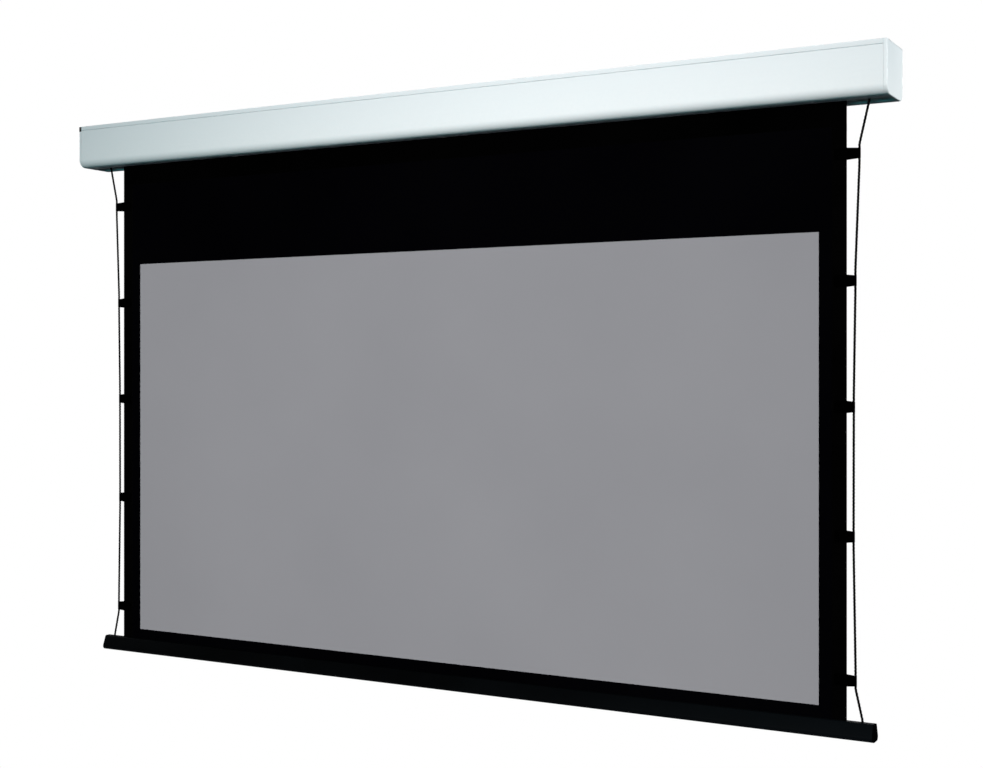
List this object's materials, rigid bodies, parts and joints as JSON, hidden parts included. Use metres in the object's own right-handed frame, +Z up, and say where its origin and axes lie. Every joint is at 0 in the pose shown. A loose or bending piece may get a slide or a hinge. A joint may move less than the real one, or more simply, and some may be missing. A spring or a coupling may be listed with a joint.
{
  "type": "tab-tensioned roll-down projector screen",
  "caption": "Motorised projection screen that rolls out of a long wall case, its fabric pulled flat by tabs and side cords and weighted by a bottom bar.",
  "frame": {"origin": "middle of the case's flat back face, where it lies against the wall", "axes": "+X along the case to its right end as the audience sees it, +Y into the wall, +Z up"},
  "size_m": [2.677, 0.1511, 1.7325],
  "materials": {
    "case_paint": "satin pale grey-blue powder coat on aluminium",
    "plated_steel": "zinc plated",
    "motor_zinc": "dull zinc plated tube",
    "roller_aluminium": "mill finish",
    "black_plastic": "matt black moulding",
    "white_plastic": "natural acetal",
    "bar_paint": "satin black on aluminium",
    "grey_fabric": "matt grey projection surface with printed black borders",
    "black_fabric": "matt black coated fabric",
    "strip_fabric": "dark grey welded strip",
    "black_cord": "braided black cord"
  },
  "bodies": {
    "housing": {"rear_housing": "case_paint", "front_cover": "case_paint", "end_cap_left": "case_paint", "end_cap_right": "case_paint", "wall_bracket_left": "plated_steel", "wall_bracket_right": "plated_steel", "motor_bracket": "plated_steel", "motor_head": "black_plastic", "motor_tube": "motor_zinc", "idler_bracket": "plated_steel", "idler_bush": "white_plastic", "receiver_box": "black_plastic", "motor_lead": "black_plastic", "supply_lead": "black_plastic", "cable_gland": "black_plastic", "gland_nut": "black_plastic", "black_leader": "black_fabric", "picture_sheet": "grey_fabric", "tab_strip_left": "strip_fabric", "tab_strip_right": "strip_fabric", "tab_left_1": "black_fabric", "tab_left_2": "black_fabric", "tab_left_3": "black_fabric", "tab_left_4": "black_fabric", "tab_left_5": "black_fabric", "tab_right_1": "black_fabric", "tab_right_2": "black_fabric", "tab_right_3": "black_fabric", "tab_right_4": "black_fabric", "tab_right_5": "black_fabric", "tension_cord_left": "black_cord", "tension_cord_right": "black_cord"},
    "roller": {"roller_tube": "roller_aluminium", "motor_crown": "black_plastic", "output_shaft": "plated_steel", "drive_wheel": "black_plastic", "idler_plug": "black_plastic", "idler_pin": "plated_steel", "fabric_spline": "black_plastic", "wound_turns": "black_fabric", "cord_spool_left": "black_plastic", "cord_spool_right": "black_plastic"},
    "bottom_bar": {"bar_profile": "bar_paint", "bar_cap_left": "black_plastic", "bar_cap_right": "black_plastic", "hem_rod": "plated_steel", "cord_tensioner_left": "plated_steel", "cord_tensioner_right": "plated_steel"}
  },
  "joints": [
    {"name": "bar_lift", "type": "slide", "parent": "housing", "child": "bottom_bar", "axis": [0, 0, 1], "range_m": [0, 1.599], "deforming": ["black_leader", "picture_sheet", "tab_strip_left", "tab_strip_right", "tab_left_1", "tab_left_2", "tab_left_3", "tab_left_4", "tab_left_5", "tab_right_1", "tab_right_2", "tab_right_3", "tab_right_4", "tab_right_5", "tension_cord_left", "tension_cord_right"]},
    {"name": "roller_spin", "type": "hinge", "parent": "housing", "child": "roller", "pos_m": [0, -0.10555, 0.01975], "axis": [1, 0, 0], "range_deg": [0, 2668]}
  ],
  "couplings": [
    {"joint": "roller_spin", "follows": "bar_lift", "rad_per_m": 29.112}
  ]
}
